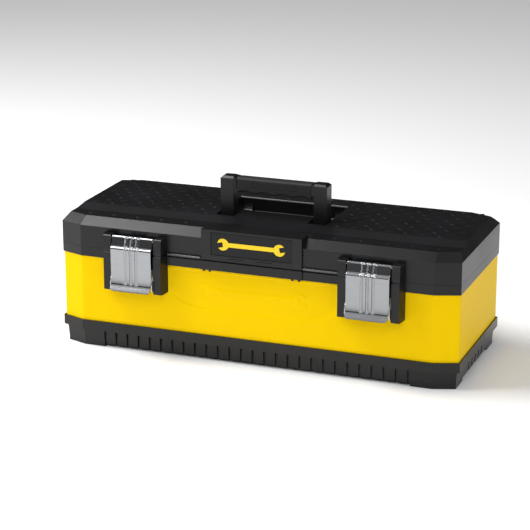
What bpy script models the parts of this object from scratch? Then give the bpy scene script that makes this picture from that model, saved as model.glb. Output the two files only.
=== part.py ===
"""Toolbox with a lift-out tray: black moulded base, collar and lid round a yellow steel wall.

Blender 4.5. Metres, +Z up, +X along the front, the front faces -Y. The origin is the centre of the
underside. Sizes below are millimetres and become metres where a mesh is made.
"""
import math

import bmesh
import bpy
from mathutils import Matrix, Vector

MM = 0.001
GAP = 0.3
RUNNING = 0.4        # clearance of a pin in its bore

# Plan outline of lid and collar: an octagon with four long corner facets
HALF_LENGTH = 331.0
HALF_DEPTH = 130.0
FACET_LONG = 38.5
FACET_SHORT = 14.0

# Heights
UNDERSIDE = 4.5
SKIRT_LOW = 28.0
SKIRT_TOP = 44.0
COLLAR_LOW = 152.0
PARTING = 168.0
LID_WALL_TOP = 203.0
LEDGE_HEIGHT = 214.0
LID_TOP = 219.0

# Lid
LID_THICK = 2.6
LEDGE_FRONT, LEDGE_BACK = -110.0, -78.0
TOP_FRONT, TOP_BACK = -55.0, 104.0
TOP_HALF = 321.0
BLOCK_HALF, BLOCK_FRONT, BLOCK_LOW, BLOCK_TOP = 83.0, -134.0, 175.0, 218.5
PLATE_HALF, PLATE_LOW, PLATE_TOP = 66.5, 178.5, 215.0

# Slots between the base's ribs
SLOT_PITCH, SLOT_HALF, SLOT_INSET, SLOT_TOP = 19.6, 2.3, 7.7, 26.0

# Carrying handle and the pocket it folds into
HANDLE_HALF, LEG_WIDTH = 89.5, 26.0
HANDLE_FRONT, HANDLE_BACK = -35.0, -12.0
HANDLE_TOP, GRIP_LOW = 279.0, 253.0
CORE_LOW, CORE_TOP = 262.0, 274.0
HANDLE_AXIS_Y, HANDLE_AXIS_Z, HANDLE_PIN_RADIUS = -23.5, 207.5, 3.0
POCKET_HALF, POCKET_FLOOR = 92.5, 195.0
POCKET_FRONT, POCKET_MIDDLE, POCKET_BACK = -49.0, -9.0, 63.0
CHANNEL_INNER = 61.5
SCOOP_INNER, SCOOP_FRONT, SCOOP_HIGH = 71.5, 50.0, 214.0

# Latches
LATCH_X = 195.0
CHEEK_INNER, CHEEK_OUTER, CHEEK_FLARE = 36.3, 49.0, 4.0
CHEEK_FRONT = -149.3
CHEEK_LOW, CHEEK_SPLIT, CHEEK_TOP = 106.4, 171.0, 196.8
LEVER_HALF, LEVER_THICK = 34.3, 1.2
LEVER_AXIS_Y, LEVER_AXIS_Z = -142.8, 192.0
EYE_RADIUS, LATCH_PIN_RADIUS = 3.4, 1.5
KEEPER_Y, KEEPER_Z, KEEPER_RIVET_X, KEEPER_RIVET_Z = -144.9, 124.0, 20.0, 134.0
PLATE_BACK, PLATE_THICK = -HALF_DEPTH + 0.7, 2.6
EAR_THICK, EAR_REACH = 1.1, 9.6

# Rear hinge
HINGE_X, HINGE_HALF = 200.0, 32.0
HINGE_AXIS_Y, HINGE_AXIS_Z = 147.5, 160.0
KNUCKLE_RADIUS, HINGE_PIN_RADIUS = 7.0, 2.5
KNUCKLE_LONG = 15.0

# Lift-out tray: the collar's shelf carries its flange
SHELF_TOP, SHELF_THICK, SHELF_INNER = 150.0, 3.0, 18.0
TRAY_FLOOR, TRAY_WALL, TRAY_RIM = 98.0, 2.6, 153.2
FLANGE_OUTER = 12.5
DIVIDER_HALF, DIVIDER_FOOT, DIVIDER_TOP = 1.2, 99.5, 146.0
CARRY_HALF, CARRY_TOP = 75.0, 160.0
FINGER_HALF, FINGER_LOW = 55.0, 130.0

COLOURS = {
    "black_plastic": ((0.024, 0.024, 0.026, 1), 0.48, 0.0),
    "yellow_steel": ((0.90, 0.60, 0.0, 1), 0.38, 0.0),
    "zinc_steel": ((0.72, 0.73, 0.74, 1), 0.28, 1.0),
    "soft_grip": ((0.020, 0.020, 0.021, 1), 0.72, 0.0),
}


def clear_scene():
    for item in list(bpy.data.objects):
        bpy.data.objects.remove(item, do_unlink=True)


def material(name):
    found = bpy.data.materials.get(name)
    if found:
        return found
    colour, roughness, metallic = COLOURS[name]
    made = bpy.data.materials.new(name)
    made.use_nodes = True
    shader = made.node_tree.nodes["Principled BSDF"]
    shader.inputs["Base Color"].default_value = colour
    shader.inputs["Roughness"].default_value = roughness
    shader.inputs["Metallic"].default_value = metallic
    return made


def solid(name, vertices, faces, finish="black_plastic"):
    """An object from millimetre points and faces, its normals turned outwards."""
    mesh = bpy.data.meshes.new(name)
    mesh.from_pydata([Vector(v) * MM for v in vertices], [], faces)
    edit = bmesh.new()
    edit.from_mesh(mesh)
    bmesh.ops.recalc_face_normals(edit, faces=edit.faces)
    edit.to_mesh(mesh)
    edit.free()
    made = bpy.data.objects.new(name, mesh)
    mesh.materials.append(material(finish))
    bpy.context.scene.collection.objects.link(made)
    return made


def combine(target, tool, operation):
    """Join the tool to the target, or cut it away, and drop the tool."""
    step = target.modifiers.new(operation, "BOOLEAN")
    step.operation = operation
    step.solver = "EXACT"
    step.object = tool
    bpy.context.view_layer.update()
    evaluated = target.evaluated_get(bpy.context.evaluated_depsgraph_get())
    mesh = bpy.data.meshes.new_from_object(evaluated)
    target.modifiers.clear()
    target.data = mesh
    mesh.name = target.name
    bpy.data.objects.remove(tool, do_unlink=True)
    return target


def join(target, *tools):
    for tool in tools:
        combine(target, tool, "UNION")
    return target


def cut(target, *tools):
    for tool in tools:
        combine(target, tool, "DIFFERENCE")
    return target


BOX_FACES = [(0, 2, 3, 1), (4, 5, 7, 6), (0, 1, 5, 4), (1, 3, 7, 5), (3, 2, 6, 7), (2, 0, 4, 6)]


def box_corners(low, high):
    return [(x, y, z) for z in (low[2], high[2]) for y in (low[1], high[1]) for x in (low[0], high[0])]


def block(low, high, name="tool", finish="black_plastic"):
    return solid(name, box_corners(low, high), BOX_FACES, finish)


def blocks(boxes, name="tool"):
    """Many separate boxes in one mesh, for one cut."""
    vertices, faces = [], []
    for low, high in boxes:
        start = len(vertices)
        vertices += box_corners(low, high)
        faces += [tuple(start + i for i in face) for face in BOX_FACES]
    return solid(name, vertices, faces)


def stack(rings, name="tool", finish="black_plastic", closed_loop=False):
    """A solid through rings with equal point counts: capped at both ends, or joined last to first."""
    count = len(rings[0])
    vertices = [point for ring in rings for point in ring]
    faces = []
    bands = len(rings) if closed_loop else len(rings) - 1
    for band in range(bands):
        low, high = band * count, ((band + 1) % len(rings)) * count
        for i in range(count):
            j = (i + 1) % count
            faces.append((low + i, low + j, high + j, high + i))
    if not closed_loop:
        faces.append(tuple(range(count)))
        faces.append(tuple(range((len(rings) - 1) * count, len(rings) * count)))
    return solid(name, vertices, faces, finish)


def prism_x(profile, x_low, x_high, name="tool", finish="black_plastic"):
    """A (y, z) outline drawn out along X."""
    return stack([[(x, y, z) for y, z in profile] for x in (x_low, x_high)], name, finish)


def rod_x(y, z, radius, x_low, x_high, sides=16, name="tool", finish="zinc_steel"):
    angles = [2 * math.pi * (i + 0.5) / sides for i in range(sides)]
    profile = [(y + radius * math.cos(a), z + radius * math.sin(a)) for a in angles]
    return prism_x(profile, x_low, x_high, name, finish)


def plan_ring(half_x, front, back, long_cut, short_cut, z):
    """An eight-sided plan outline, anticlockwise from the front left."""
    return [
        (-half_x + long_cut, front, z), (half_x - long_cut, front, z),
        (half_x, front + short_cut, z), (half_x, back - short_cut, z),
        (half_x - long_cut, back, z), (-half_x + long_cut, back, z),
        (-half_x, back - short_cut, z), (-half_x, front + short_cut, z),
    ]


def outline(inset, z):
    """The plan outline moved inwards by inset all round, at height z."""
    slope = math.atan2(FACET_SHORT, FACET_LONG)
    long_cut = FACET_LONG - inset * (1 - math.tan(slope / 2))
    short_cut = FACET_SHORT - inset * (1 - math.tan(math.pi / 4 - slope / 2))
    return plan_ring(HALF_LENGTH - inset, inset - HALF_DEPTH, HALF_DEPTH - inset, long_cut, short_cut, z)


def rivet_y(x, y_outer, y_inner, z, shank, head, name, tail=True):
    """A rivet along Y: a domed head outside, its shank through the sheet, and a flat tail head inside."""
    sides = 12
    direction = 1 if y_inner > y_outer else -1
    stations = [
        (y_outer - direction * 1.3, head * 0.45), (y_outer - direction * 0.8, head * 0.85),
        (y_outer, head), (y_outer, shank), (y_inner, shank),
    ]
    if tail:
        stations += [(y_inner, head * 0.8), (y_inner + direction * 0.8, head * 0.7)]
    rings = []
    for y, radius in stations:
        angles = [2 * math.pi * i / sides for i in range(sides)]
        rings.append([(x + radius * math.cos(a), y, z + radius * math.sin(a)) for a in angles])
    return stack(rings, name, "zinc_steel")


def hole_y(x, y_low, y_high, z, radius, sides=12):
    angles = [2 * math.pi * (i + 0.5) / sides for i in range(sides)]
    circle = [(x + radius * math.cos(a), z + radius * math.sin(a)) for a in angles]
    return stack([[(x_round, y, z_round) for x_round, z_round in circle] for y in (y_low, y_high)])


# Base and steel wall ---------------------------------------------------------------------------

def base_slots():
    """The gaps between the ribs round the lower base, open at the bottom, as boxes."""
    boxes = []
    low, high = UNDERSIDE - 2, SLOT_TOP
    for side in (-1, 1):
        for i in range(-13, 14):
            low_y, high_y = sorted((side * (HALF_DEPTH + 1), side * (HALF_DEPTH - SLOT_INSET)))
            middle = i * SLOT_PITCH
            boxes.append(((middle - SLOT_HALF, low_y, low), (middle + SLOT_HALF, high_y, high)))
        for i in range(-2, 3):
            low_x, high_x = sorted((side * (HALF_LENGTH + 1), side * (HALF_LENGTH - SLOT_INSET)))
            middle = i * SLOT_PITCH
            boxes.append(((low_x, middle - SLOT_HALF, low), (high_x, middle + SLOT_HALF, high)))
    return blocks(boxes)


def foot(side_x, side_y):
    """A corner foot, following the faceted corner."""
    ring = outline(5.0, 0.0)
    facet_x, front = ring[1][0], -ring[1][1]
    corner_x, corner_y = ring[2][0], -ring[2][1]
    plan = [(257, front), (facet_x, front), (corner_x, corner_y), (corner_x, 74), (257, 74)]
    rings = [[(side_x * x, side_y * y, z) for x, y in plan] for z in (0.0, UNDERSIDE + 2)]
    return stack(rings)


def make_base():
    profile = [
        (5.2, UNDERSIDE), (3.4, SKIRT_LOW - 1), (-1.5, SKIRT_LOW), (-1.5, SKIRT_TOP), (0.7, SKIRT_TOP),
        (0.7, SKIRT_TOP - 8), (2.5, SKIRT_TOP - 8), (2.5, 62.0), (5.0, 62.0),
        (5.0, SKIRT_LOW + 3), (9.8, SKIRT_LOW), (9.8, UNDERSIDE + 3.5),
    ]
    base = stack([outline(inset, z) for inset, z in profile], "base_pan")
    cut(base, base_slots())
    for side_x in (-1, 1):
        for side_y in (-1, 1):
            join(base, foot(side_x, side_y))
    return base


def make_wall():
    low, high = SKIRT_TOP - 8 + GAP, COLLAR_LOW + 8
    profile = [(1.1, low), (1.1, high), (2.1, high), (2.1, low)]
    wall = stack([outline(inset, z) for inset, z in profile], "steel_wall", "yellow_steel", closed_loop=True)
    seam_y = HALF_DEPTH - 1.1
    join(wall, block((-9, seam_y - 0.5, SKIRT_TOP + 1), (14, seam_y + 1.0, COLLAR_LOW - 1)))
    for number in range(4):
        z = 70 + number * 24
        cut(wall, hole_y(2, seam_y - 6, seam_y + 6, z, 1.9))
        rivet_y(2, seam_y + 1.0 + GAP, seam_y - 1.0 - GAP, z, 1.5, 3.2, f"seam_rivet_{number + 1}")
    return wall


# Collar ----------------------------------------------------------------------------------------

def cheek(profile, x_centre, side, inner, outer, flare):
    """One latch cheek: a (y, z) outline with a flat inner side and an outer side that flares to the wall."""
    depth = -HALF_DEPTH - CHEEK_FRONT
    near = [(x_centre + side * inner, y, z) for y, z in profile]
    far = []
    for y, z in profile:
        spread = flare * min(1.0, max(0.0, (y - CHEEK_FRONT) / depth))
        far.append((x_centre + side * (outer + spread), y, z))
    return stack([near, far])


def knuckle(x_low, x_high, root, name="tool"):
    """A hinge knuckle round the hinge axis, with an arm to the wall at the root heights."""
    barrel = rod_x(HINGE_AXIS_Y, HINGE_AXIS_Z, KNUCKLE_RADIUS, x_low, x_high)
    arm = prism_x(root, x_low, x_high)
    return join(barrel, arm)


def lower_cheeks(x_centre):
    """The lower half of both cheeks, its top edge chamfered and a little ahead of the upper half."""
    split, step = CHEEK_SPLIT - 0.7, -HALF_DEPTH - 0.6
    hanging = [
        (PLATE_BACK, PARTING - GAP), (step, PARTING - GAP), (step, split),
        (CHEEK_FRONT + 1.6, split), (CHEEK_FRONT, split - 2),
        (CHEEK_FRONT - 0.2, CHEEK_LOW + 1), (CHEEK_FRONT + 2.8, CHEEK_LOW - 0.4), (PLATE_BACK, CHEEK_LOW + 1),
    ]
    return [cheek(hanging, x_centre, side, CHEEK_INNER, CHEEK_OUTER, CHEEK_FLARE) for side in (-1, 1)]


def make_collar():
    shelf_low, joint = SHELF_TOP - SHELF_THICK, COLLAR_LOW + 8 + GAP
    profile = [
        (0, COLLAR_LOW), (0, PARTING - GAP), (9, PARTING - GAP), (9, SHELF_TOP), (SHELF_INNER, SHELF_TOP),
        (SHELF_INNER, shelf_low), (2.5, shelf_low), (2.5, joint), (0.7, joint), (0.7, COLLAR_LOW),
    ]
    collar = stack([outline(inset, z) for inset, z in profile], "rim_collar", closed_loop=True)
    rail_half = LATCH_X - CHEEK_OUTER - CHEEK_FLARE
    join(collar, block((-rail_half, -HALF_DEPTH - 3, COLLAR_LOW + 1), (rail_half, -HALF_DEPTH + 1, 166.5)))
    join(collar, block((-84, -HALF_DEPTH - 6, COLLAR_LOW + 1.6), (84, -HALF_DEPTH + 1, PARTING - GAP)))
    for side in (-1, 1):
        x = side * LATCH_X
        join(collar, block((x - 40, PLATE_BACK - PLATE_THICK, 113), (x + 40, PLATE_BACK, PARTING - GAP)))
        join(collar, *lower_cheeks(x))
        for cheek_side in (-1, 1):
            middle = x + cheek_side * (CHEEK_INNER + CHEEK_OUTER) / 2
            cut(collar, block((middle - 4.2, CHEEK_FRONT + 2.8, CHEEK_LOW - 3),
                              (middle + 4.2, PLATE_BACK - PLATE_THICK, CHEEK_LOW + 9)))
            cut(collar, hole_y(x + cheek_side * KEEPER_RIVET_X, -140, -120, KEEPER_RIVET_Z, 1.9))
    for side in (-1, 1):
        for end in (-1, 1):
            ends = sorted(side * HINGE_X + end * reach for reach in (HINGE_HALF, HINGE_HALF - KNUCKLE_LONG))
            arm = [(HALF_DEPTH - 1, 153), (HALF_DEPTH - 1, 165), (HINGE_AXIS_Y, HINGE_AXIS_Z + 4),
                   (HINGE_AXIS_Y, HINGE_AXIS_Z - 6)]
            join(collar, knuckle(*ends, arm))
    for side in (-1, 1):
        bore = rod_x(HINGE_AXIS_Y, HINGE_AXIS_Z, HINGE_PIN_RADIUS + 0.3,
                     side * HINGE_X - HINGE_HALF - 2, side * HINGE_X + HINGE_HALF + 2)
        cut(collar, bore)
        rod_x(HINGE_AXIS_Y, HINGE_AXIS_Z, HINGE_PIN_RADIUS, side * HINGE_X - HINGE_HALF,
              side * HINGE_X + HINGE_HALF, name="hinge_pin_left" if side < 0 else "hinge_pin_right")
    return collar


# Latches ---------------------------------------------------------------------------------------

def make_keeper(x, label):
    """A riveted steel bracket with two standing ears, and the bar that the lever's spring bears on."""
    face = PLATE_BACK - PLATE_THICK - GAP
    outer = CHEEK_INNER - GAP
    name = f"keeper_bracket_{label}"
    bracket = block((x - outer, face - 1.2, 118), (x + outer, face, 141), name, "zinc_steel")
    tip = KEEPER_Y - EAR_REACH
    ear = [(face, 107), (face - 8, 107), (tip + 2.2, 111.5), (tip + 0.4, 115.5), (tip, 119.5),
           (tip + 0.4, 124), (tip + 2.2, 128.5), (tip + 6, 132.5), (face, 135)]
    for side in (-1, 1):
        near, far = sorted((x + side * (outer - EAR_THICK), x + side * outer))
        join(bracket, prism_x(ear, near, far))
    cut(bracket, rod_x(KEEPER_Y, KEEPER_Z, LATCH_PIN_RADIUS + RUNNING, x - 40, x + 40))
    for number, side in enumerate((-1, 1)):
        rivet_x = x + side * KEEPER_RIVET_X
        cut(bracket, hole_y(rivet_x, face - 4, face + 2, KEEPER_RIVET_Z, 1.9))
        rivet_y(rivet_x, face - 1.2 - GAP, -HALF_DEPTH + 0.4, KEEPER_RIVET_Z, 1.5, 3.2,
                f"keeper_rivet_{label}_{number + 1}", tail=False)
    rod_x(KEEPER_Y, KEEPER_Z, LATCH_PIN_RADIUS, x - outer, x + outer, name=f"keeper_bar_{label}")
    return bracket


def sheet_profile(line, thickness):
    """A closed (y, z) outline of a bent sheet, from the points along its front face."""
    points = [Vector(p) for p in line]
    back = []
    for i, point in enumerate(points):
        ahead = (points[min(i + 1, len(points) - 1)] - points[max(i - 1, 0)]).normalized()
        back.append(point + Vector((-ahead.y, ahead.x)) * thickness)
    return [tuple(p) for p in points] + [tuple(p) for p in reversed(back)]


def make_lever(x, label):
    """The bent steel latch lever: an eye round its pin, a leaning top, a long face and a turned-out lip."""
    front = LEVER_AXIS_Y - EYE_RADIUS
    line = [(front, LEVER_AXIS_Z), (front - 2.4, 185), (front - 4.6, 180.5), (front - 6.2, 176.5),
            (front - 6.4, 172), (front - 6.3, 140), (front - 6.2, 120), (front - 7.0, 113),
            (front - 8.3, 106.5)]
    name = f"latch_lever_{label}"
    lever = prism_x(sheet_profile(line, LEVER_THICK), x - LEVER_HALF, x + LEVER_HALF, name, "zinc_steel")
    join(lever, rod_x(LEVER_AXIS_Y, LEVER_AXIS_Z, EYE_RADIUS, x - LEVER_HALF, x + LEVER_HALF))
    flange = [(front - 6.0, 169), (front, 167), (front, 139), (front - 5.7, 133)]
    for side in (-1, 1):
        near, far = sorted((x + side * (LEVER_HALF - LEVER_THICK), x + side * LEVER_HALF))
        join(lever, prism_x(flange, near, far))
    cut(lever, rod_x(LEVER_AXIS_Y, LEVER_AXIS_Z, LATCH_PIN_RADIUS + RUNNING, x - 40, x + 40))
    rod_x(LEVER_AXIS_Y, LEVER_AXIS_Z, LATCH_PIN_RADIUS, x - 43, x + 43, name=f"latch_pin_{label}")
    nose = KEEPER_Y - LATCH_PIN_RADIUS - 1.6
    spring_line = [(front - 4.4, 158), (nose - 0.4, 140), (nose, 130), (nose, 121), (nose + 0.4, 117)]
    prism_x(sheet_profile(spring_line, 0.8), x - 12, x + 12, f"latch_spring_{label}", "zinc_steel")
    return lever


# Lid -------------------------------------------------------------------------------------------

def lid_outside():
    """The lid's outer form: walls, a bevel up to the front ledge, and the raised top behind it."""
    bevel_side = (HALF_LENGTH - TOP_HALF) / (LID_TOP - LID_WALL_TOP)
    side = HALF_LENGTH - bevel_side * (LEDGE_HEIGHT - LID_WALL_TOP)
    bevel_back = (HALF_DEPTH - TOP_BACK) / (LID_TOP - LID_WALL_TOP)
    back = HALF_DEPTH - bevel_back * (LEDGE_HEIGHT - LID_WALL_TOP)
    foot_ring, wall_ring = outline(0, PARTING), outline(0, LID_WALL_TOP)
    ledge_ring = plan_ring(side, LEDGE_FRONT, back, 33, 12, LEDGE_HEIGHT)
    step_ring = plan_ring(side, LEDGE_BACK, back, 14, 6, LEDGE_HEIGHT)
    top_ring = plan_ring(TOP_HALF, TOP_FRONT, TOP_BACK, 8, 3, LID_TOP)
    for ring in (step_ring, top_ring):
        for i in (4, 5):
            corner_x = ledge_ring[4][0] - (side - ring[2][0])
            ring[i] = (math.copysign(corner_x, ring[i][0]), *ring[i][1:])
        for i in (3, 6):
            ring[i] = (ring[i][0], ring[4][1] - 12, ring[i][2])
    step_front = [step_ring[i] for i in (0, 1, 2, 7)]
    vertices = foot_ring + wall_ring + ledge_ring + step_front + top_ring
    foot0, wall0, ledge0, step0, top0 = 0, 8, 16, 24, 28
    step_index = {0: step0, 1: step0 + 1, 2: step0 + 2, 7: step0 + 3}
    upper = [step_index.get(i, ledge0 + i) for i in range(8)]
    faces = [tuple(range(8)), tuple(top0 + i for i in range(8))]
    for i in range(8):
        j = (i + 1) % 8
        faces.append((foot0 + i, foot0 + j, wall0 + j, wall0 + i))
        band = [wall0 + i, wall0 + j, ledge0 + j, ledge0 + i]
        if i == 2:
            band = [wall0 + i, wall0 + j, ledge0 + j, upper[2], ledge0 + i]
        if i == 6:
            band = [wall0 + i, wall0 + j, ledge0 + j, upper[7], ledge0 + i]
        faces.append(tuple(band))
        faces.append((upper[i], upper[j], top0 + j, top0 + i))
    faces.append((ledge0 + 7, ledge0, ledge0 + 1, ledge0 + 2, upper[2], upper[1], upper[0], upper[7]))
    return solid("lid_shell", vertices, faces)


def pocket(grow, top):
    """The handle pocket as a solid, larger by grow, up to height top."""
    low = POCKET_FLOOR - grow
    outer, back = POCKET_HALF + grow, POCKET_BACK + grow
    front, middle = POCKET_FRONT - grow, POCKET_MIDDLE - grow
    channel = CHANNEL_INNER - grow
    body = block((-outer, middle, low), (outer, back, top))
    for side in (-1, 1):
        near, far = sorted((side * channel, side * outer))
        join(body, block((near, front, low), (far, middle + 5, top)))
    rise, run = SCOOP_HIGH - POCKET_FLOOR, POCKET_BACK - SCOOP_FRONT
    curve = [math.radians(15 * i) for i in range(7)]
    scoop = [(SCOOP_FRONT + grow + run * math.sin(a), low + rise * (1 - math.cos(a))) for a in curve]
    scoop += [(back + 1, low + rise), (back + 1, low - 1), (SCOOP_FRONT + grow, low - 1)]
    for side in (-1, 1):
        near, far = sorted((side * (SCOOP_INNER + grow), side * (outer + 1)))
        cut(body, prism_x(scoop, near, far))
    return body


def upper_cheeks(x_centre):
    shape = [(-HALF_DEPTH + 1, CHEEK_SPLIT), (CHEEK_FRONT + 1.6, CHEEK_SPLIT),
             (CHEEK_FRONT + 1.0, CHEEK_SPLIT + 4), (CHEEK_FRONT + 1.9, CHEEK_TOP - 1.4),
             (CHEEK_FRONT + 3.3, CHEEK_TOP), (-HALF_DEPTH + 1, CHEEK_TOP + 0.4)]
    return [cheek(shape, x_centre, side, CHEEK_INNER, CHEEK_OUTER, CHEEK_FLARE) for side in (-1, 1)]


def make_lid():
    lid = lid_outside()
    skin = LID_THICK
    inside = stack([outline(skin + 1.2, PARTING - 5), outline(skin + 1.2, LID_WALL_TOP - 1),
                    plan_ring(TOP_HALF - 6, LEDGE_FRONT + 6, TOP_BACK - 3, 33, 12, LEDGE_HEIGHT - skin)])
    join(inside, block((-TOP_HALF + 5, TOP_FRONT + 3, 190), (TOP_HALF - 5, TOP_BACK - 4, LID_TOP - skin)))
    cut(inside, pocket(skin, LID_TOP + 5))
    cut(lid, inside, pocket(0, LID_TOP + 5))
    rail_half = LATCH_X - CHEEK_OUTER - CHEEK_FLARE
    join(lid, block((-rail_half, -HALF_DEPTH - 3, PARTING + 0.6), (rail_half, -HALF_DEPTH + 1, 172)))
    centre = block((-BLOCK_HALF, BLOCK_FRONT, PARTING + 1.5), (BLOCK_HALF, -105, BLOCK_TOP))
    cut(centre, block((-PLATE_HALF - GAP, BLOCK_FRONT - 1, PLATE_LOW - GAP),
                      (PLATE_HALF + GAP, BLOCK_FRONT + 2.8, PLATE_TOP + GAP)))
    cut(centre, block((-BLOCK_HALF - 1, -HALF_DEPTH + 1.5, PARTING - 1),
                      (BLOCK_HALF + 1, -100, LID_WALL_TOP - 2)))
    join(lid, centre)
    for side in (-1, 1):
        x = side * LATCH_X
        join(lid, *upper_cheeks(x))
        cut(lid, rod_x(LEVER_AXIS_Y, LEVER_AXIS_Z, LATCH_PIN_RADIUS + RUNNING, x - 44, x + 44))
        arm = [(HALF_DEPTH - 1, 171), (HALF_DEPTH - 1, 188), (HALF_DEPTH + 5, 184),
               (HINGE_AXIS_Y + 6, HINGE_AXIS_Z + 3), (HINGE_AXIS_Y - 4, HINGE_AXIS_Z - 5),
               (HALF_DEPTH + 3, 168.5)]
        reach = HINGE_HALF - KNUCKLE_LONG - 0.5
        join(lid, knuckle(side * HINGE_X - reach, side * HINGE_X + reach, arm))
        cut(lid, rod_x(HINGE_AXIS_Y, HINGE_AXIS_Z, HINGE_PIN_RADIUS + 0.3, side * HINGE_X - reach - 2,
                       side * HINGE_X + reach + 2))
        near, far = sorted((side * 52, side * 99))
        cut(lid, rod_x(HANDLE_AXIS_Y, HANDLE_AXIS_Z, HANDLE_PIN_RADIUS + RUNNING, near, far))
    return lid


def make_name_plate():
    return block((-PLATE_HALF, BLOCK_FRONT + 0.6, PLATE_LOW), (PLATE_HALF, BLOCK_FRONT + 2.5, PLATE_TOP),
                 "name_plate")


# Handle ----------------------------------------------------------------------------------------

def leg_profile():
    """The leg seen from the side: a round foot about the pivot and a chamfered top."""
    radius = HANDLE_AXIS_Y - HANDLE_FRONT
    arc = [math.radians(180 + 22.5 * i) for i in range(9)]
    foot_arc = [(HANDLE_AXIS_Y + radius * math.cos(a), HANDLE_AXIS_Z + radius * math.sin(a)) for a in arc]
    return foot_arc + [(HANDLE_BACK, HANDLE_TOP - 3), (HANDLE_BACK - 3, HANDLE_TOP),
                       (HANDLE_FRONT + 3, HANDLE_TOP), (HANDLE_FRONT, HANDLE_TOP - 3)]


def make_handle():
    inner = HANDLE_HALF - LEG_WIDTH
    frame = prism_x(leg_profile(), -HANDLE_HALF, -inner - 4, "handle_frame")
    join(frame, prism_x(leg_profile(), inner + 4, HANDLE_HALF))
    for side in (-1, 1):
        corner = [(side * (HANDLE_HALF - 4), HANDLE_TOP + 0.5), (side * (HANDLE_HALF + 0.5), HANDLE_TOP - 4),
                  (side * (HANDLE_HALF + 2), HANDLE_TOP + 2)]
        cut(frame, stack([[(x, y, z) for x, z in corner] for y in (HANDLE_FRONT - 1, HANDLE_BACK + 1)]))
    for side in (-1, 1):
        near, far = sorted((side * inner, side * (inner + 5)))
        join(frame, block((near, HANDLE_FRONT + 0.6, CORE_LOW - 3),
                          (far, HANDLE_BACK - 0.6, HANDLE_TOP - 1.5)))
    join(frame, block((-inner - 2, HANDLE_FRONT + 6, CORE_LOW), (inner + 2, HANDLE_BACK - 6, CORE_TOP)))
    for side in (-1, 1):
        near, far = sorted((side * 50, side * 99))
        cut(frame, rod_x(HANDLE_AXIS_Y, HANDLE_AXIS_Z, HANDLE_PIN_RADIUS + RUNNING, near, far))
        label = "left" if side < 0 else "right"
        near, far = sorted((side * 57, side * 94))
        rod_x(HANDLE_AXIS_Y, HANDLE_AXIS_Z, HANDLE_PIN_RADIUS, near, far, name=f"handle_pin_{label}")
    return frame


def make_grip():
    """The soft sleeve: finger waves along its underside, a square hole for the handle's core."""
    half = HANDLE_HALF - LEG_WIDTH - GAP
    steps = 32
    rings = []
    for i in range(steps + 1):
        x = -half + 2 * half * i / steps
        wave = GRIP_LOW + 1.4 - 1.4 * math.cos(2 * math.pi * 4 * x / (2 * half))
        rings.append([(x, HANDLE_FRONT + 1.2, wave + 2), (x, HANDLE_FRONT + 4.5, wave),
                      (x, HANDLE_BACK - 4.5, wave), (x, HANDLE_BACK - 1.2, wave + 2),
                      (x, HANDLE_BACK - 1.2, HANDLE_TOP - 3.6),
                      (x, HANDLE_BACK - 4, HANDLE_TOP - 0.8), (x, HANDLE_FRONT + 4, HANDLE_TOP - 0.8),
                      (x, HANDLE_FRONT + 1.2, HANDLE_TOP - 3.6)])
    grip = stack(rings, "handle_grip", "soft_grip")
    cut(grip, block((-half - 2, HANDLE_FRONT + 6 - GAP, CORE_LOW - GAP),
                    (half + 2, HANDLE_BACK - 6 + GAP, CORE_TOP + GAP)))
    return grip


# Tray ------------------------------------------------------------------------------------------

def make_tray():
    """The lift-out tray: a flange on the collar's shelf, two rows of bins and a central carrying wall."""
    seat = SHELF_TOP + 2 * GAP
    profile = [(22.5, TRAY_FLOOR), (20, seat), (FLANGE_OUTER, seat), (FLANGE_OUTER, TRAY_RIM), (22, TRAY_RIM),
               (24.5, TRAY_FLOOR + TRAY_WALL)]
    tray = stack([outline(inset, z) for inset, z in profile], "tray_body")
    middle = [(-307.5, DIVIDER_FOOT), (307.5, DIVIDER_FOOT),
              (309.5, DIVIDER_TOP + 3), (-309.5, DIVIDER_TOP + 3)]
    join(tray, stack([[(x, y, z) for x, z in middle] for y in (-1.4, 1.4)]))
    join(tray, block((-CARRY_HALF, -1.4, DIVIDER_TOP - 6), (CARRY_HALF, 1.4, CARRY_TOP)))
    join(tray, block((3 - CARRY_HALF, -4, CARRY_TOP - 6), (CARRY_HALF - 3, 4, CARRY_TOP)))
    cut(tray, block((-FINGER_HALF, -6, FINGER_LOW), (FINGER_HALF, 6, CARRY_TOP - 7)))
    divider = [(-106.5, DIVIDER_FOOT), (106.5, DIVIDER_FOOT), (108.5, DIVIDER_TOP), (-108.5, DIVIDER_TOP)]
    for x in (-195, -95, 95, 195):
        join(tray, prism_x(divider, x - DIVIDER_HALF, x + DIVIDER_HALF))
    return tray


# Assembly --------------------------------------------------------------------------------------

HINGES = {
    "lid_axis": (0, HINGE_AXIS_Y, HINGE_AXIS_Z),
    "handle_axis": (0, HANDLE_AXIS_Y, HANDLE_AXIS_Z),
    "latch_axis_left": (-LATCH_X, LEVER_AXIS_Y, LEVER_AXIS_Z),
    "latch_axis_right": (LATCH_X, LEVER_AXIS_Y, LEVER_AXIS_Z),
    "tray_slide": (0, 0, SHELF_TOP),
}
RIDERS = {
    "handle_axis": ["handle_frame", "handle_grip"],
    "latch_axis_left": ["latch_lever_left", "latch_spring_left"],
    "latch_axis_right": ["latch_lever_right", "latch_spring_right"],
    "tray_slide": ["tray_body"],
    "lid_axis": ["lid_shell", "name_plate", "handle_pin_left", "handle_pin_right", "latch_pin_left",
                 "latch_pin_right"],
}


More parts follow.
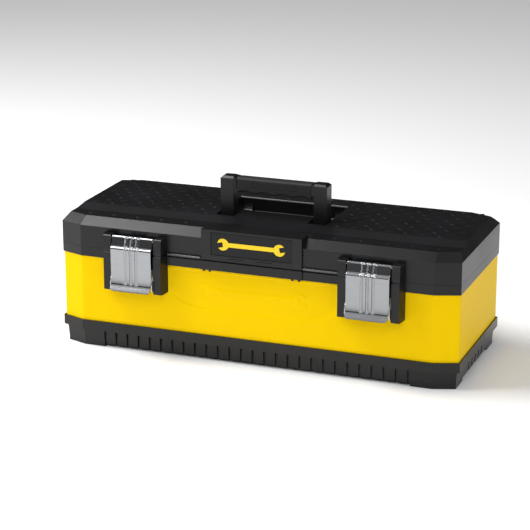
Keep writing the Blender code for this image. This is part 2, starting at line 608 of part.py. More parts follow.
def assemble():
    """Put each moving piece under an empty on its joint, its origin on the joint's axis."""
    empties = {}
    for name, place in HINGES.items():
        empty = bpy.data.objects.new(name, None)
        empty.location = Vector(place) * MM
        bpy.context.scene.collection.objects.link(empty)
        empties[name] = empty
    for name in ("handle_axis", "latch_axis_left", "latch_axis_right"):
        empties[name].parent = empties["lid_axis"]
        empties[name].location = (Vector(HINGES[name]) - Vector(HINGES["lid_axis"])) * MM
    for name, pieces in RIDERS.items():
        shift = Vector(HINGES[name]) * MM
        for piece in pieces:
            made = bpy.data.objects[piece]
            made.data.transform(Matrix.Translation(-shift))
            made.parent = empties[name]


def main():
    clear_scene()
    make_base()
    make_wall()
    make_collar()
    for side, label in ((-1, "left"), (1, "right")):
        make_keeper(side * LATCH_X, label)
        make_lever(side * LATCH_X, label)
    make_lid()
    make_name_plate()
    make_handle()
    make_grip()
    make_tray()
    assemble()


main()
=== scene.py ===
"""Looks of the toolbox: rounded mouldings, a pressed yellow wall, beaded steel latches and their finishes.

Lengths below are millimetres, turned to metres where a mesh is made. +X runs along the front, the
front faces -Y, +Z is up, and the floor is z = 0.
"""
import math

import bpy
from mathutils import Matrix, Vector


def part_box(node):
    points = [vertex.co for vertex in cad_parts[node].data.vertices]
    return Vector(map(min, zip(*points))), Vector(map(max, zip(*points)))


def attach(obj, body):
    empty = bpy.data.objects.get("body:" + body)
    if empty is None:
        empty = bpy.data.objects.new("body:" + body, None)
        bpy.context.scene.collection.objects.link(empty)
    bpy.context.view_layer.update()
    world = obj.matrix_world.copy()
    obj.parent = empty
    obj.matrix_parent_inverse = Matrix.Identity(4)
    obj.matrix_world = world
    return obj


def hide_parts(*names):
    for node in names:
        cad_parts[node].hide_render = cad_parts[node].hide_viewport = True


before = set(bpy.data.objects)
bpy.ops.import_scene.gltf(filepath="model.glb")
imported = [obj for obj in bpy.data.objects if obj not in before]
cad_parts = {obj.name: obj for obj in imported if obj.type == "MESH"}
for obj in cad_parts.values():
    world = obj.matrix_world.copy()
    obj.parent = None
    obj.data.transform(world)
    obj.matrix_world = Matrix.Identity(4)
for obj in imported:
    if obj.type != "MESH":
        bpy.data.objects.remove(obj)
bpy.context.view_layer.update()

MM = 0.001


def span(node):
    """A node's lowest and highest corners in millimetres."""
    low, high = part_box(node)
    return Vector(low) / MM, Vector(high) / MM


WALL_LOW, WALL_HIGH = span("steel_wall")
COLLAR_LOW, _ = span("rim_collar")
PLATE_LOW, PLATE_HIGH = span("name_plate")
GRIP_LOW, GRIP_HIGH = span("handle_grip")


# Finishes --------------------------------------------------------------------------------------

def linear(code):
    """An sRGB hex colour as linear red, green, blue and alpha."""
    channels = [int(code[i:i + 2], 16) / 255 for i in (1, 3, 5)]
    return tuple(c / 12.92 if c <= 0.04045 else ((c + 0.055) / 1.055) ** 2.4 for c in channels) + (1.0,)


def per_mm(size):
    """The texture scale that gives a pattern of this size, in millimetres, on Object coordinates."""
    return 1 / (size * MM)


def add_node(tree, kind, values=(), links=(), **settings):
    """Add a node: settings are its own, values fill its sockets, and links come from other sockets."""
    made = tree.nodes.new(kind)
    for name, value in settings.items():
        setattr(made, name, value)
    for socket, value in dict(values).items():
        made.inputs[socket].default_value = value
    for socket, source in dict(links).items():
        tree.links.new(source, made.inputs[socket])
    return made


def new_material(name, **sockets):
    """A material's tree, its Principled shader with these sockets set, and its Object coordinates."""
    made = bpy.data.materials.new(name)
    made.use_nodes = True
    tree = made.node_tree
    shader = tree.nodes["Principled BSDF"]
    for socket, value in sockets.items():
        shader.inputs[socket.replace("_", " ")].default_value = value
    place = add_node(tree, "ShaderNodeTexCoord").outputs["Object"]
    return made, tree, shader, place


def moulded_plastic(name, dark, light, rough_low, rough_high, grain, depth):
    """Injection-moulded polypropylene: a spark-eroded grain with faint flow clouds in colour and gloss."""
    made, tree, shader, place = new_material(name, IOR=1.49, Specular_IOR_Level=0.36)
    cloud = add_node(tree, "ShaderNodeTexNoise", {"Scale": per_mm(70), "Detail": 3.0}, {"Vector": place})
    speckle = add_node(tree, "ShaderNodeTexNoise", {"Scale": per_mm(grain), "Detail": 2.0}, {"Vector": place})
    both = add_node(tree, "ShaderNodeMath", {}, {0: cloud.outputs["Fac"], 1: speckle.outputs["Fac"]},
                    operation="MULTIPLY_ADD")
    both.inputs[2].default_value = 0.2
    shade = add_node(tree, "ShaderNodeValToRGB", {}, {"Fac": both.outputs[0]})
    shade.color_ramp.elements[0].position = 0.32
    shade.color_ramp.elements[0].color = linear(dark)
    shade.color_ramp.elements[1].position = 0.62
    shade.color_ramp.elements[1].color = linear(light)
    tree.links.new(shade.outputs["Color"], shader.inputs["Base Color"])
    gloss = add_node(tree, "ShaderNodeMapRange", {"To Min": rough_low, "To Max": rough_high},
                     {"Value": cloud.outputs["Fac"]})
    tree.links.new(gloss.outputs["Result"], shader.inputs["Roughness"])
    bump = add_node(tree, "ShaderNodeBump", {"Strength": 0.35, "Distance": depth * MM},
                    {"Height": speckle.outputs["Fac"]})
    tree.links.new(bump.outputs["Normal"], shader.inputs["Normal"])
    return made


def powder_coated_steel():
    """Yellow powder coat on sheet steel: orange peel about 3 mm across under a clear, even gloss."""
    made, tree, shader, place = new_material("yellow_powder_coat", IOR=1.45, Specular_IOR_Level=0.05)
    peel = add_node(tree, "ShaderNodeTexNoise", {"Scale": per_mm(3.2), "Detail": 1.5}, {"Vector": place})
    waves = add_node(tree, "ShaderNodeTexNoise", {"Scale": per_mm(120), "Detail": 2.0}, {"Vector": place})
    shade = add_node(tree, "ShaderNodeMix", {}, {0: waves.outputs["Fac"]}, data_type="RGBA")
    shade.inputs[6].default_value = linear("#f2c600")
    shade.inputs[7].default_value = linear("#f8d000")
    tree.links.new(shade.outputs[2], shader.inputs["Base Color"])
    gloss = add_node(tree, "ShaderNodeMapRange", {"To Min": 0.36, "To Max": 0.46},
                     {"Value": peel.outputs["Fac"]})
    tree.links.new(gloss.outputs["Result"], shader.inputs["Roughness"])
    bump = add_node(tree, "ShaderNodeBump", {"Strength": 0.12, "Distance": 0.05 * MM},
                    {"Height": peel.outputs["Fac"]})
    tree.links.new(bump.outputs["Normal"], shader.inputs["Normal"])
    return made


def plated_steel(name, colour, light, rough_low, rough_high):
    """Bright zinc plate on rolled strip: rolling lines run across the strip and break up the reflections."""
    made, tree, shader, place = new_material(name, Metallic=1.0)
    across = add_node(tree, "ShaderNodeMapping", {"Scale": (0.04, 1.0, 1.0)}, {"Vector": place})
    lines = add_node(tree, "ShaderNodeTexNoise", {"Scale": per_mm(0.9), "Detail": 3.0},
                     {"Vector": across.outputs["Vector"]})
    tint = add_node(tree, "ShaderNodeMix", {}, {0: lines.outputs["Fac"]}, data_type="RGBA")
    tint.inputs[6].default_value = linear(colour)
    tint.inputs[7].default_value = linear(light)
    tree.links.new(tint.outputs[2], shader.inputs["Base Color"])
    gloss = add_node(tree, "ShaderNodeMapRange", {"To Min": rough_low, "To Max": rough_high},
                     {"Value": lines.outputs["Fac"]})
    tree.links.new(gloss.outputs["Result"], shader.inputs["Roughness"])
    bump = add_node(tree, "ShaderNodeBump", {"Strength": 0.08, "Distance": 0.02 * MM},
                    {"Height": lines.outputs["Fac"]})
    tree.links.new(bump.outputs["Normal"], shader.inputs["Normal"])
    return made


def printed_ink():
    """Pad-printed yellow ink: even, slightly glossier than the plastic under it."""
    made, tree, shader, place = new_material("yellow_print", IOR=1.5)
    patches = add_node(tree, "ShaderNodeTexNoise", {"Scale": per_mm(5), "Detail": 2.0}, {"Vector": place})
    shade = add_node(tree, "ShaderNodeMix", {}, {0: patches.outputs["Fac"]}, data_type="RGBA")
    shade.inputs[6].default_value = linear("#f2cb00")
    shade.inputs[7].default_value = linear("#f8d600")
    tree.links.new(shade.outputs[2], shader.inputs["Base Color"])
    gloss = add_node(tree, "ShaderNodeMapRange", {"To Min": 0.36, "To Max": 0.46},
                     {"Value": patches.outputs["Fac"]})
    tree.links.new(gloss.outputs["Result"], shader.inputs["Roughness"])
    return made


# The grain is really about 0.3 mm across; it is drawn at 1.2 to 2.5 mm so that it shows. The lighter edge
# plastic is the same plastic, smoother and painted lighter: a painted highlight, so that a rim shows as a
# light line.
BLACK = moulded_plastic("black_polypropylene", "#0e0e0f", "#17171a", 0.27, 0.36, 1.6, 0.07)
HIGHLIGHT_EDGE = moulded_plastic("black_edge_painted_highlight", "#4a4a4b", "#6a6a6b", 0.22, 0.30, 1.6, 0.03)
PLATE = moulded_plastic("smooth_black_plastic", "#040405", "#080809", 0.40, 0.48, 2.5, 0.03)
GRIP = moulded_plastic("soft_grip_rubber", "#181818", "#232323", 0.58, 0.70, 1.2, 0.18)
TRAY = moulded_plastic("tray_polypropylene", "#19191a", "#252626", 0.46, 0.58, 1.8, 0.12)
YELLOW = powder_coated_steel()
LATCH_STEEL = plated_steel("polished_latch_strip", "#8e9093", "#a8aaac", 0.14, 0.20)
ZINC = plated_steel("zinc_plated_steel", "#b4b6b9", "#dededc", 0.26, 0.38)
INK = printed_ink()


# Modelling helpers -----------------------------------------------------------------------------

def activate(piece):
    """Select this piece and nothing else."""
    bpy.ops.object.select_all(action="DESELECT")
    piece.select_set(True)
    bpy.context.view_layer.objects.active = piece


def apply_modifiers(piece):
    """Apply a piece's modifiers in their order."""
    activate(piece)
    for step in list(piece.modifiers):
        bpy.ops.object.modifier_apply(modifier=step.name)


def round_edges(piece, width, segments=2, sharpness=30):
    """Round every edge that turns by more than sharpness degrees."""
    step = piece.modifiers.new("edges", "BEVEL")
    step.width = width * MM
    step.segments = segments
    step.limit_method = "ANGLE"
    step.angle_limit = math.radians(sharpness)
    apply_modifiers(piece)


def flatten_faces(piece):
    """Turn the shading normals of rounded edges to the large faces beside them, which then look flat."""
    step = piece.modifiers.new("normals", "WEIGHTED_NORMAL")
    step.weight = 100
    step.keep_sharp = True
    apply_modifiers(piece)


def combine(piece, other, operation):
    """Join another piece to this one, or cut it away, and remove it."""
    step = piece.modifiers.new("combine", "BOOLEAN")
    step.operation = operation
    step.object = other
    apply_modifiers(piece)
    bpy.data.objects.remove(other, do_unlink=True)


def settle(piece, name, finish, body, *replaced, smooth=35):
    """Name a piece, put its place into its mesh, give it its finish, and let it ride on its body."""
    activate(piece)
    bpy.ops.object.transform_apply(location=True, rotation=True, scale=True)
    piece.name = name
    piece.data.name = name
    piece.data.materials.clear()
    piece.data.materials.append(finish)
    bpy.ops.object.shade_smooth_by_angle(angle=math.radians(smooth))
    flatten_faces(piece)
    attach(piece, body)
    if replaced:
        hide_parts(*replaced)
    return piece


def bar(low, high, edge=0.0):
    """A box between two corners, its edges rounded."""
    low, high = Vector(low), Vector(high)
    bpy.ops.object.select_all(action="DESELECT")
    bpy.ops.mesh.primitive_cube_add(size=1, location=(low + high) / 2 * MM)
    piece = bpy.context.object
    piece.scale = (high - low) * MM
    bpy.ops.object.transform_apply(location=False, rotation=False, scale=True)
    if edge:
        round_edges(piece, edge)
    return piece


def joined(pieces):
    """Several pieces as one object."""
    bpy.ops.object.select_all(action="DESELECT")
    for piece in pieces:
        piece.select_set(True)
    bpy.context.view_layer.objects.active = pieces[0]
    bpy.ops.object.join()
    return bpy.context.object


def rounded_copy(node, name, finish, body, width, sharpness=9):
    """A frame node's form with its moulded edges rounded."""
    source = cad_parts[node]
    piece = source.copy()
    piece.data = source.data.copy()
    piece.parent = None
    bpy.context.scene.collection.objects.link(piece)
    activate(piece)
    bpy.ops.object.mode_set(mode="EDIT")
    bpy.ops.mesh.select_all(action="SELECT")
    bpy.ops.mesh.remove_doubles(threshold=0.002 * MM)
    bpy.ops.mesh.dissolve_limited(angle_limit=math.radians(0.5))
    bpy.ops.object.mode_set(mode="OBJECT")
    round_edges(piece, width, 2, sharpness)
    return settle(piece, name, finish, body, node)


# Lid -------------------------------------------------------------------------------------------

TREAD_PITCH, TREAD_ROW = 27.6, 17.5
TREAD_LONG, TREAD_WIDE, TREAD_HIGH = 7.5, 3.1, 0.9
TOP_HALF, TOP_FRONT, TOP_BACK, TOP_HEIGHT = 321.0, -55.0, 104.0, 219.0
LEDGE_Y, LEDGE_HEIGHT, LEDGE_PITCH = -94.0, 214.0, 41.5
STUD_LONG, STUD_WIDE, STUD_HIGH, STUD_REACH = 4.2, 2.2, 0.6, 300.0
POCKET_HALF, POCKET_FRONT, POCKET_BACK, POCKET_FLOOR = 92.5, -49.0, 63.0, 195.0
SCOOP_INNER = 71.5
LIP_HEIGHT, LIP_MIDDLE, LIP_HALF = 171.2, 113.0, 27.5
REST_BACK, REST_FRONT, REST_LOW, REST_HIGH = -131.0, -135.2, 173.2, 175.0


def tread(x, y, z, turn, long, wide, high):
    """One raised lozenge, a low dome."""
    bpy.ops.object.select_all(action="DESELECT")
    bpy.ops.mesh.primitive_uv_sphere_add(segments=12, ring_count=6, radius=1,
                                         location=(x * MM, y * MM, z * MM),
                                         rotation=(0, 0, math.radians(turn)),
                                         scale=(long * MM, wide * MM, high * MM))
    return bpy.context.object


def lid_treads():
    """The chequer pattern on the top: rows of lozenges that turn left and right by turns."""
    domes = []
    rows = int((TOP_BACK - TOP_FRONT - 16) // TREAD_ROW)
    for row in range(rows + 1):
        y = TOP_FRONT + 11 + row * TREAD_ROW
        offset = TREAD_PITCH / 2 if row % 2 else 0
        for column in range(-12, 13):
            x = column * TREAD_PITCH + offset
            over_pocket = abs(x) < POCKET_HALF + 9 and POCKET_FRONT - 6 < y < POCKET_BACK + 8
            if abs(x) < TOP_HALF - 14 and not over_pocket:
                turn = 38 if (row + column) % 2 else -38
                domes.append(tread(x, y, TOP_HEIGHT - 0.15, turn, TREAD_LONG, TREAD_WIDE, TREAD_HIGH))
    settle(joined(domes), "lid_treads", BLACK, "lid", smooth=60)


def ledge_studs():
    """One row of small domes along the front ledge."""
    studs = []
    for column in range(-7, 8):
        x = column * LEDGE_PITCH
        if abs(x) < STUD_REACH:
            studs.append(tread(x, LEDGE_Y, LEDGE_HEIGHT - 0.1, 0, STUD_LONG, STUD_WIDE, STUD_HIGH))
    settle(joined(studs), "ledge_studs", BLACK, "lid", smooth=60)


def spanner(long, head, shank, deep, y_back):
    """A plain double-ended spanner lying along X, its back at y_back: the mark on the name plate."""
    centre = (PLATE_LOW + PLATE_HIGH) / 2
    body = bar((-long / 2 + head, y_back - deep, centre.z - shank / 2),
               (long / 2 - head, y_back, centre.z + shank / 2))
    for side in (-1, 1):
        place = Vector((side * (long / 2 - head), y_back - deep / 2, centre.z))
        bpy.ops.object.select_all(action="DESELECT")
        bpy.ops.mesh.primitive_cylinder_add(vertices=40, radius=head * MM, depth=deep * MM,
                                            location=place * MM, rotation=(math.pi / 2, 0, 0))
        disc = bpy.context.object
        jaw_place = place + Vector((side * head * 0.75, 0, side * head * 0.18))
        jaw_half = Vector((head * 0.75, deep, head * 0.42))
        jaw = bar(jaw_place - jaw_half, jaw_place + jaw_half)
        jaw.rotation_euler = (0, math.radians(-14), 0)
        combine(disc, jaw, "DIFFERENCE")
        combine(body, disc, "UNION")
    return body


def name_plate():
    """The plate in the centre block and the mark printed on it."""
    plate = bar(PLATE_LOW, PLATE_HIGH, 0.6)
    settle(plate, "name_plate_insert", PLATE, "lid", "name_plate")
    mark = spanner(112, 9.5, 7.0, 0.35, PLATE_LOW.y)
    settle(mark, "plate_mark", INK, "lid")


def bead_along_x(x_low, x_high, y, z, radius):
    """A rounded moulded bead along X."""
    length = x_high - x_low
    bpy.ops.object.select_all(action="DESELECT")
    bpy.ops.mesh.primitive_cylinder_add(vertices=20, radius=radius * MM, depth=length * MM,
                                        location=((x_low + x_high) / 2 * MM, y * MM, z * MM),
                                        rotation=(0, math.pi / 2, 0))
    bead = bpy.context.object
    round_edges(bead, radius * 0.3)
    return bead


def pocket_rims():
    """The handle pocket's rounded back edge, and the bead at the foot of its back wall."""
    rims = [bead_along_x(-POCKET_HALF, POCKET_HALF, POCKET_BACK + 0.9, TOP_HEIGHT - 0.6, 1.7),
            bead_along_x(2 - SCOOP_INNER, SCOOP_INNER - 2, POCKET_BACK - 0.6, POCKET_FLOOR + 0.9, 2.0)]
    # The rims take the lighter edge plastic: a painted highlight along the rounded edges.
    settle(joined(rims), "pocket_rims", HIGHLIGHT_EDGE, "lid")


def lid_lip_beads():
    """Beads along the lid's front lip, between the centre block and the latches."""
    lips = [bead_along_x(middle - LIP_HALF, middle + LIP_HALF, COLLAR_LOW.y + 16.4, LIP_HEIGHT, 1.5)
            for middle in (-LIP_MIDDLE, LIP_MIDDLE)]
    # The beads take the lighter edge plastic: a painted highlight along the lip.
    settle(joined(lips), "lid_lip_beads", HIGHLIGHT_EDGE, "lid")


def plate_rests():
    """The two small rests under the name plate."""
    rests = [bar((left, REST_FRONT, REST_LOW), (right, REST_BACK, REST_HIGH), 0.3)
             for left, right in ((-36, -13), (8, 34))]
    settle(joined(rests), "plate_rests", BLACK, "lid")


# Collar and wall -------------------------------------------------------------------------------

TAB_PLACES, TAB_HALF = (-79, -69, 68, 79), 1.8
TAB_BACK, TAB_FRONT, TAB_FOOT, TAB_HEAD = -131.0, -135.0, 44.6, 47.5


def collar_tabs():
    """Snap tabs that show under the collar's front edge."""
    tabs = []
    for x in TAB_PLACES:
        tabs.append(bar((x - TAB_HALF, TAB_FRONT, COLLAR_LOW.z + TAB_FOOT),
                        (x + TAB_HALF, TAB_BACK, COLLAR_LOW.z + TAB_HEAD), 0.5))
    settle(joined(tabs), "collar_tabs", BLACK, "box")


PANEL_HALF, PANEL_TOP, PANEL_RADIUS = 141.5, 150.0, 7.0
PANEL_FOOT = ((142.0, 105.0), (117.0, 90.0), (85.0, 83.0))
PANEL_DEPTH, PANEL_SLOPE = 1.3, 5.0
EMBOSS_HALF, EMBOSS_LOW, EMBOSS_HIGH = 91.0, 105.0, 128.0
EMBOSS_RAISE, EMBOSS_SLOPE = 0.9, 2.4
LONG_CUT, SHORT_CUT, BEND = 37.6, 13.7, 3.0
SHEET_THICK = 1.0
LAP_LEFT, LAP_RIGHT, LAP_FOOT, LAP_TOP = -9.0, 14.0, 9.0, 151.0


def panel_distance(x, z):
    """How far a point of the front lies outside the pressed panel's outline, negative inside."""
    r = PANEL_RADIUS
    x = abs(x)
    sides = [x - PANEL_HALF + r, z - PANEL_TOP + r]
    outside = math.hypot(max(sides[0], 0), max(sides[1], 0))
    distance = outside - r if outside > 0 else max(sides) - r
    corners = PANEL_FOOT + ((0.0, PANEL_FOOT[-1][1]),)
    for (x1, z1), (x2, z2) in zip(corners, corners[1:]):
        length = math.hypot(x2 - x1, z2 - z1)
        distance = max(distance, ((z1 - z) * (x1 - x2) - (x1 - x) * (z1 - z2)) / length)
    return distance


def spanner_distance(x, z):
    """How far a point of the front lies outside the embossed spanner."""
    middle = (EMBOSS_LOW + EMBOSS_HIGH) / 2
    head = (EMBOSS_HIGH - EMBOSS_LOW) / 2
    x, z = abs(x), (z - middle) * (1 if x > 0 else -1)
    disc = math.hypot(x - (EMBOSS_HALF - head), z) - head
    shank = max(abs(z) - head * 0.38, x - (EMBOSS_HALF - head))
    jaw = max(abs(z - head * 0.15) - head * 0.40, EMBOSS_HALF - head * 1.15 - x)
    return max(min(disc, shank), -jaw)


def smooth_step(value):
    """0 below 0, 1 above 1, and a smooth rise between them."""
    value = min(1.0, max(0.0, value))
    return value * value * (3 - 2 * value)


def press_depth(x, z):
    """How far the press pushes the front wall in at a point."""
    panel = PANEL_DEPTH * smooth_step(-panel_distance(x, z) / PANEL_SLOPE)
    emboss = EMBOSS_RAISE * smooth_step((EMBOSS_SLOPE / 2 - spanner_distance(x, z)) / EMBOSS_SLOPE)
    return panel - emboss


def wall_path():
    """Stations round the wall from the rear seam: (x, y, on the front) in millimetres, close on the front."""
    half_x, half_y = WALL_HIGH.x, -WALL_LOW.y
    inner_x, inner_y = half_x - LONG_CUT, half_y - SHORT_CUT
    corners = [(-inner_x, half_y), (-half_x, inner_y), (-half_x, -inner_y), (-inner_x, -half_y),
               (inner_x, -half_y), (half_x, -inner_y), (half_x, inner_y), (inner_x, half_y)]
    points = [Vector((0, half_y))]
    for i, corner in enumerate(corners):
        corner = Vector(corner)
        before = Vector(corners[i - 1]) if i else Vector((0, half_y))
        after = Vector(corners[i + 1]) if i < 7 else Vector((0, half_y))
        start = corner + (before - corner).normalized() * BEND
        end = corner + (after - corner).normalized() * BEND
        for step in range(5):
            t = step / 4
            points.append(start * (1 - t) ** 2 + corner * 2 * t * (1 - t) + end * t * t)
        if i == 3:
            xs = [-280, -240, -200, -170]
            xs += [-155 + 3 * k for k in range(21)] + [-93.6 + 1.3 * k for k in range(145)]
            xs += [95 + 3 * k for k in range(21)] + [170, 200, 240, 280]
            points += [Vector((x, -half_y)) for x in xs]
    return points


def wall_sheet():
    """The steel wrap as one sheet: a flat grid rolled round the box, pressed at the front, then thickened."""
    path = wall_path()
    heights = [WALL_LOW.z, 44, 55, 66, 74, 78] + [80 + 1.4 * k for k in range(53)] + [WALL_HIGH.z]
    bpy.ops.object.select_all(action="DESELECT")
    bpy.ops.mesh.primitive_grid_add(x_subdivisions=len(path), y_subdivisions=len(heights) - 1, size=1)
    sheet = bpy.context.object
    columns, rows = len(path), len(heights)
    for vertex in sheet.data.vertices:
        column = round((vertex.co.x + 0.5) * columns)
        row = round((vertex.co.y + 0.5) * (rows - 1))
        point = path[column % columns]
        z = heights[row]
        y = point.y
        if abs(y - WALL_LOW.y) < 0.01 and abs(point.x) < PANEL_HALF + 1:
            y += press_depth(point.x, z)
        vertex.co = Vector((point.x, y, z)) * MM
    bpy.ops.object.mode_set(mode="EDIT")
    bpy.ops.mesh.select_all(action="SELECT")
    bpy.ops.mesh.remove_doubles(threshold=0.01 * MM)
    bpy.ops.mesh.normals_make_consistent(inside=False)
    bpy.ops.object.mode_set(mode="OBJECT")
    wall = sheet.modifiers.new("sheet", "SOLIDIFY")
    wall.thickness = SHEET_THICK * MM
    wall.offset = -1
    apply_modifiers(sheet)
    settle(sheet, "wall_sheet", YELLOW, "box", "steel_wall", smooth=50)


def seam_lap():
    """The end of the sheet that laps over its start, at the rear."""
    lap = bar((LAP_LEFT, WALL_HIGH.y - 0.6, WALL_LOW.z + LAP_FOOT),
              (LAP_RIGHT, WALL_HIGH.y + 0.7, LAP_TOP), 0.4)
    settle(lap, "seam_lap", YELLOW, "box")


# Latches ---------------------------------------------------------------------------------------

# The lever from the side: rolled over its pin, a set-back head, a shoulder, the long face that eases
# outwards at its foot, and the turned-out lip
LEVER_LINE = ((-139.4, 194.4), (-141.2, 196.0), (-143.1, 196.4), (-145.0, 195.5), (-146.1, 193.9),
              (-146.9, 191.6), (-149.9, 182.8), (-150.4, 181.4), (-151.4, 179.9), (-153.0, 178.2),
              (-153.8, 176.8), (-154.0, 175.0), (-153.9, 165.0), (-153.7, 150.0), (-153.6, 141.0),
              (-153.8, 134.0), (-154.3, 127.5), (-155.0, 122.0), (-155.6, 119.2), (-157.0, 117.2),
              (-160.0, 113.8), (-162.4, 111.0), (-162.8, 110.2))
LEVER_HALF = 34.3
LEVER_THICK, LIP_CORNER = 1.2, 6.0
BEAD_PITCH, BEAD_HALF, BEAD_HIGH = 9.3, 3.0, 2.3
BEAD_FOOT, BEAD_TOP = 119.0, 197.0
LATCH_X = 195.0


def curve_through(points, steps):
    """Points along a smooth line through the given ones."""
    line = [Vector(p) for p in points]
    line = [line[0] * 2 - line[1]] + line + [line[-1] * 2 - line[-2]]
    result = []
    for i in range(1, len(line) - 2):
        a, b, c, d = line[i - 1:i + 3]
        for step in range(steps):
            t = step / steps
            result.append(0.5 * (2 * b + (c - a) * t + (2 * a - 5 * b + 4 * c - d) * t * t
                                 + (3 * b - a - 3 * c + d) * t ** 3))
    return result + [line[-2]]


def bead_height(x):
    """Three stiffening beads down the middle of the lever."""
    nearest = min(abs(x - BEAD_PITCH * k) for k in (-1, 0, 1))
    return BEAD_HIGH * smooth_step((BEAD_HALF - nearest) / BEAD_HALF * 1.1)


def latch_lever(side, label):
    """One lever: a grid bent along its line, beaded, its lip's corners rounded, then thickened."""
    line = curve_through(LEVER_LINE, 4)
    xs = [-LEVER_HALF, -33.5, -31, -26, -21, -16, -13]
    xs += [-12 + 0.5 * k for k in range(49)] + [13, 16, 21, 26, 31, 33.5, LEVER_HALF]
    bpy.ops.object.select_all(action="DESELECT")
    bpy.ops.mesh.primitive_grid_add(x_subdivisions=len(xs) - 1, y_subdivisions=len(line) - 1, size=1)
    lever = bpy.context.object
    lip_z = LEVER_LINE[-1][1]
    for vertex in lever.data.vertices:
        x = xs[round((vertex.co.x + 0.5) * (len(xs) - 1))]
        index = round((vertex.co.y + 0.5) * (len(line) - 1))
        point = line[index]
        ahead = (line[min(index + 1, len(line) - 1)] - line[max(index - 1, 0)]).normalized()
        out = Vector((ahead.y, -ahead.x))
        fade = smooth_step((point.y - BEAD_FOOT) / 4) * smooth_step((BEAD_TOP - point.y) / 1.5)
        place = point + out * bead_height(x) * fade
        rise = point.y - lip_z
        if rise < LIP_CORNER:
            arc = math.sqrt(max(0.0, LIP_CORNER ** 2 - (LIP_CORNER - rise) ** 2))
            x *= 1 - (LIP_CORNER - arc) / LEVER_HALF
        vertex.co = Vector((side * LATCH_X + x, place.x, place.y)) * MM
    bpy.ops.object.mode_set(mode="EDIT")
    bpy.ops.mesh.select_all(action="SELECT")
    bpy.ops.mesh.normals_make_consistent(inside=False)
    bpy.ops.object.mode_set(mode="OBJECT")
    middle = max(lever.data.polygons, key=lambda face: -abs(face.center.z - 150 * MM))
    if middle.normal.y > 0:
        lever.data.flip_normals()
    strip = lever.modifiers.new("strip", "SOLIDIFY")
    strip.thickness = LEVER_THICK * MM
    strip.offset = -1
    apply_modifiers(lever)
    round_edges(lever, 0.35, 2, 50)
    settle(lever, f"latch_plate_{label}", LATCH_STEEL, f"latch_{label}", f"latch_lever_{label}", smooth=40)


# Handle ----------------------------------------------------------------------------------------

FRAME_HALF, FRAME_RAIL = 38.0, 0.8


def grip_frame():
    """A raised frame on the grip's front, above where the fingers close."""
    low, high = GRIP_HIGH.z - 13, GRIP_HIGH.z - 6
    front, back = GRIP_LOW.y - 0.35, GRIP_LOW.y + 0.6
    inner = FRAME_HALF - FRAME_RAIL
    sides = [(-FRAME_HALF, FRAME_HALF, low, low + FRAME_RAIL),
             (-FRAME_HALF, FRAME_HALF, high - FRAME_RAIL, high),
             (-FRAME_HALF, -inner, low, high), (inner, FRAME_HALF, low, high)]
    rails = [bar((left, front, foot), (right, back, top)) for left, right, foot, top in sides]
    settle(joined(rails), "grip_frame", GRIP, "handle")


# Assembly --------------------------------------------------------------------------------------

def finish_small_parts():
    """Pins, rivets, keepers and springs keep their form and get plated steel."""
    for name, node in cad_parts.items():
        if any(word in name for word in ("pin", "rivet", "keeper", "spring")):
            for slot in node.material_slots:
                slot.material = ZINC


# Each soft box: its place and size in metres, and its power in watts
LIGHTS = {
    "overhead": ((-1.5, -0.3, 2.3), 1.5, 76),
    "left": ((-2.6, -1.4, 1.1), 1.0, 14),
    "front": ((0.5, -3.4, 2.5), 1.4, 30),
    "right": ((2.8, -0.4, 1.6), 1.6, 24),
}


def pale_floor():
    """A plain, near-white floor."""
    bpy.ops.object.select_all(action="DESELECT")
    bpy.ops.mesh.primitive_plane_add(size=30, location=(0, 0, 0))
    floor = bpy.context.object
    floor.name = "floor"
    made, tree, shader, place = new_material("pale_floor", Roughness=0.7, Specular_IOR_Level=0.1)
    shader.inputs["Base Color"].default_value = linear("#fbfbfb")
    floor.data.materials.append(made)


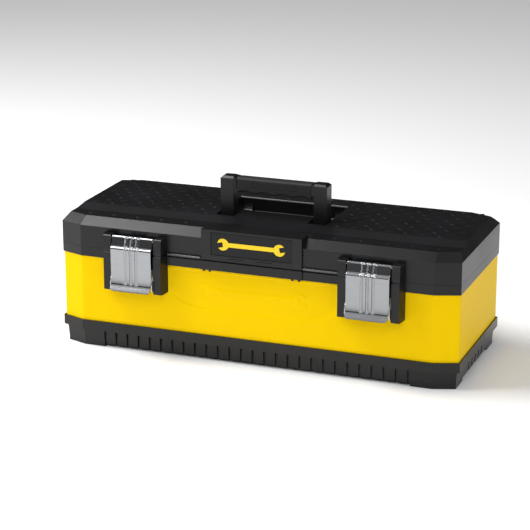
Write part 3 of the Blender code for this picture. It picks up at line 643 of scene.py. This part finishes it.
def sky():
    """A sky that is dim at the horizon, light overhead, and dimmer behind the box than before it."""
    world = bpy.data.worlds.new("studio")
    bpy.context.scene.world = world
    world.use_nodes = True
    tree = world.node_tree
    direction = add_node(tree, "ShaderNodeTexCoord").outputs["Generated"]
    parts = add_node(tree, "ShaderNodeSeparateXYZ", {}, {"Vector": direction})
    upward = add_node(tree, "ShaderNodeValToRGB", {}, {"Fac": parts.outputs["Z"]})
    upward.color_ramp.elements[0].position = 0.44
    upward.color_ramp.elements[0].color = (0.13, 0.13, 0.13, 1)
    upward.color_ramp.elements[1].position = 0.68
    upward.color_ramp.elements[1].color = (0.9, 0.9, 0.9, 1)
    behind = add_node(tree, "ShaderNodeMapRange",
                      {"From Min": -0.2, "From Max": 0.7, "To Min": 1.0, "To Max": 0.3},
                      {"Value": parts.outputs["Y"]})
    shaded = add_node(tree, "ShaderNodeVectorMath", {},
                      {0: upward.outputs["Color"], 1: behind.outputs["Result"]}, operation="MULTIPLY")
    tree.links.new(shaded.outputs["Vector"], tree.nodes["Background"].inputs["Color"])
    tree.nodes["Background"].inputs["Strength"].default_value = 0.7


def soft_boxes():
    """Square lights, all aimed at the middle of the box."""
    for name, (place, size, power) in LIGHTS.items():
        light = bpy.data.objects.new(name, bpy.data.lights.new(name, "AREA"))
        light.data.shape = "SQUARE"
        light.data.size = size
        light.data.energy = power
        light.location = place
        light.rotation_euler = (Vector((0, 0, 0.1)) - Vector(place)).to_track_quat("-Z", "Y").to_euler()
        bpy.context.scene.collection.objects.link(light)


def camera():
    """A long lens, in front of the box and to its right, looking a little down."""
    seen = bpy.data.cameras.new("camera")
    seen.lens = 130.79
    seen.sensor_width = 36
    placed = bpy.data.objects.new("camera", seen)
    placed.location = (1.0183, -2.7858, 1.0579)
    placed.rotation_euler = (math.radians(90 - 17.378), 0, math.radians(20.566))
    bpy.context.scene.collection.objects.link(placed)
    bpy.context.scene.camera = placed


def main():
    rounded_copy("lid_shell", "lid_moulding", BLACK, "lid", 0.9)
    rounded_copy("rim_collar", "collar_moulding", BLACK, "box", 0.7)
    rounded_copy("base_pan", "base_moulding", BLACK, "box", 0.7)
    rounded_copy("handle_frame", "handle_moulding", BLACK, "handle", 1.6)
    rounded_copy("handle_grip", "grip_sleeve", GRIP, "handle", 1.2)
    rounded_copy("tray_body", "tray_moulding", TRAY, "tray", 0.6)
    lid_treads()
    ledge_studs()
    name_plate()
    pocket_rims()
    lid_lip_beads()
    plate_rests()
    collar_tabs()
    wall_sheet()
    seam_lap()
    for side, label in ((-1, "left"), (1, "right")):
        latch_lever(side, label)
    grip_frame()
    finish_small_parts()
    pale_floor()
    sky()
    soft_boxes()
    camera()
    bpy.context.scene.view_settings.view_transform = "Standard"


main()
